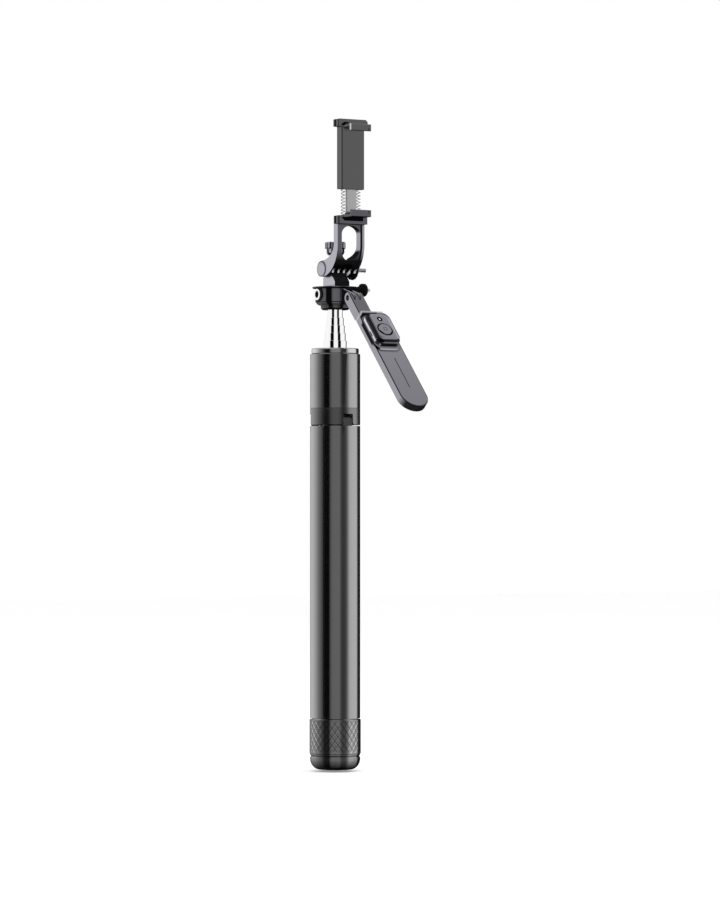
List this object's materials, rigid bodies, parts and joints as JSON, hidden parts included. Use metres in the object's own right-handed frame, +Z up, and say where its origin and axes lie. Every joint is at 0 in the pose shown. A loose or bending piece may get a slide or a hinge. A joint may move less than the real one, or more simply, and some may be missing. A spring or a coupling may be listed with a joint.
{
  "type": "selfie stick",
  "caption": "Telescopic selfie stick: a round handle that opens into a tripod, a panning and tilting head with a spring phone clamp, and a swing arm with a remote.",
  "frame": {"origin": "centre of the foot pad's underside, on the pole's axis", "axes": "+Z up along the pole, the phone's screen and the remote arm face -Y, +X to the right seen from the front"},
  "size_m": [0.0565, 0.1564, 0.5948],
  "materials": {
    "gloss_black": "polished moulding",
    "black_metal": "gloss black coating on aluminium",
    "satin_black": "fine satin",
    "chrome": "mirror polished",
    "steel": "bright machined",
    "rubber": "matt",
    "board_green": "solder mask",
    "clear_plastic": "clear moulding"
  },
  "bodies": {
    "base": {"base_cap": "gloss_black", "foot_pad": "rubber", "core_tube": "black_metal", "top_collar": "gloss_black"},
    "crown": {"crown_band": "satin_black", "leg_hub": "satin_black", "crown_sleeve": "black_metal", "sleeve_guide": "satin_black", "leg_pin_1": "steel", "leg_pin_2": "steel", "leg_pin_3": "steel"},
    "front_leg": {"leg_1": "black_metal", "leg_foot_1": "rubber"},
    "right_leg": {"leg_2": "black_metal", "leg_foot_2": "rubber"},
    "left_leg": {"leg_3": "black_metal", "leg_foot_3": "rubber"},
    "pole_1": {"pole_stage_1": "chrome", "stage_plug_1": "satin_black"},
    "pole_2": {"pole_stage_2": "chrome", "stage_plug_2": "satin_black"},
    "pole_3": {"pole_stage_3": "chrome", "stage_plug_3": "satin_black"},
    "pole_4": {"pole_stage_4": "chrome", "stage_plug_4": "satin_black"},
    "head_base": {"pole_stage_5": "chrome", "stage_plug_5": "satin_black", "head_ring": "gloss_black", "pan_housing": "gloss_black", "thread_insert": "steel", "arm_pin": "steel"},
    "side_knob": {"thumb_knob": "gloss_black"},
    "pan_neck": {"neck": "gloss_black"},
    "pan_knob": {"top_knob": "gloss_black"},
    "phone_holder": {"yoke": "black_metal", "tilt_cap": "satin_black", "clamp_base": "gloss_black", "clamp_rail": "steel", "lower_pad": "rubber", "clamp_spring_1": "steel", "clamp_spring_2": "steel"},
    "tilt_lock": {"tilt_knob": "gloss_black", "tilt_screw": "steel"},
    "jaw": {"upper_jaw": "gloss_black", "upper_pad": "rubber"},
    "arm": {"arm_frame": "black_metal", "arm_face": "gloss_black", "remote_cradle": "gloss_black"},
    "remote": {"remote_back": "gloss_black", "remote_front": "gloss_black", "remote_cell": "steel", "remote_board": "board_green", "led_window": "clear_plastic"},
    "shutter_button": {"remote_button": "satin_black"}
  },
  "joints": [
    {"name": "crown_slide", "type": "slide", "parent": "base", "child": "crown", "axis": [0, 0, -1], "range_m": [0, 0.1665]},
    {"name": "front_leg_hinge", "type": "hinge", "parent": "crown", "child": "front_leg", "pos_m": [0, -0.0182, 0.3203], "axis": [-1, 0, 0], "range_deg": [0, 55]},
    {"name": "right_leg_hinge", "type": "hinge", "parent": "crown", "child": "right_leg", "pos_m": [0.01576, 0.0091, 0.3203], "axis": [0.5, -0.866, 0], "range_deg": [0, 55]},
    {"name": "left_leg_hinge", "type": "hinge", "parent": "crown", "child": "left_leg", "pos_m": [-0.01576, 0.0091, 0.3203], "axis": [0.5, 0.866, 0], "range_deg": [0, 55]},
    {"name": "stage_1_slide", "type": "slide", "parent": "base", "child": "pole_1", "axis": [0, 0, 1], "range_m": [0, 0.255]},
    {"name": "stage_2_slide", "type": "slide", "parent": "pole_1", "child": "pole_2", "axis": [0, 0, 1], "range_m": [0, 0.255]},
    {"name": "stage_3_slide", "type": "slide", "parent": "pole_2", "child": "pole_3", "axis": [0, 0, 1], "range_m": [0, 0.255]},
    {"name": "stage_4_slide", "type": "slide", "parent": "pole_3", "child": "pole_4", "axis": [0, 0, 1], "range_m": [0, 0.255]},
    {"name": "stage_5_slide", "type": "slide", "parent": "pole_4", "child": "head_base", "axis": [0, 0, 1], "range_m": [0, 0.255]},
    {"name": "side_knob_turn", "type": "hinge", "parent": "head_base", "child": "side_knob", "pos_m": [0, -0.0241, 0.4394], "axis": [1, 0, 0], "range_deg": [0, 360]},
    {"name": "head_pan", "type": "hinge", "parent": "head_base", "child": "pan_neck", "pos_m": [0, 0, 0.443], "axis": [0, 0, 1], "continuous": true},
    {"name": "pan_knob_turn", "type": "hinge", "parent": "pan_neck", "child": "pan_knob", "pos_m": [0, 0, 0.475], "axis": [0, 0, 1], "range_deg": [0, 360]},
    {"name": "phone_tilt", "type": "hinge", "parent": "pan_neck", "child": "phone_holder", "pos_m": [0, 0, 0.4592], "axis": [1, 0, 0], "range_deg": [-25, 25]},
    {"name": "tilt_knob_turn", "type": "hinge", "parent": "phone_holder", "child": "tilt_lock", "pos_m": [0, 0, 0.4592], "axis": [1, 0, 0], "range_deg": [0, 360]},
    {"name": "jaw_slide", "type": "slide", "parent": "phone_holder", "child": "jaw", "axis": [0, 0, 1], "range_m": [-0.022, 0.02], "deforming": ["clamp_spring_1", "clamp_spring_2"]},
    {"name": "arm_swing", "type": "hinge", "parent": "head_base", "child": "arm", "pos_m": [0, -0.033, 0.4313], "axis": [-1, 0, 0], "range_deg": [-42, 47]},
    {"name": "remote_lift", "type": "slide", "parent": "arm", "child": "remote", "axis": [0, -0.729, 0.6845], "range_m": [0, 0.008]},
    {"name": "button_press", "type": "slide", "parent": "remote", "child": "shutter_button", "axis": [0, 0.729, -0.6845], "range_m": [0, 0.0006]}
  ],
  "couplings": [
    {"joint": "front_leg_hinge", "follows": "crown_slide", "rad_per_m": 5.765},
    {"joint": "right_leg_hinge", "follows": "crown_slide", "rad_per_m": 5.765},
    {"joint": "left_leg_hinge", "follows": "crown_slide", "rad_per_m": 5.765}
  ]
}
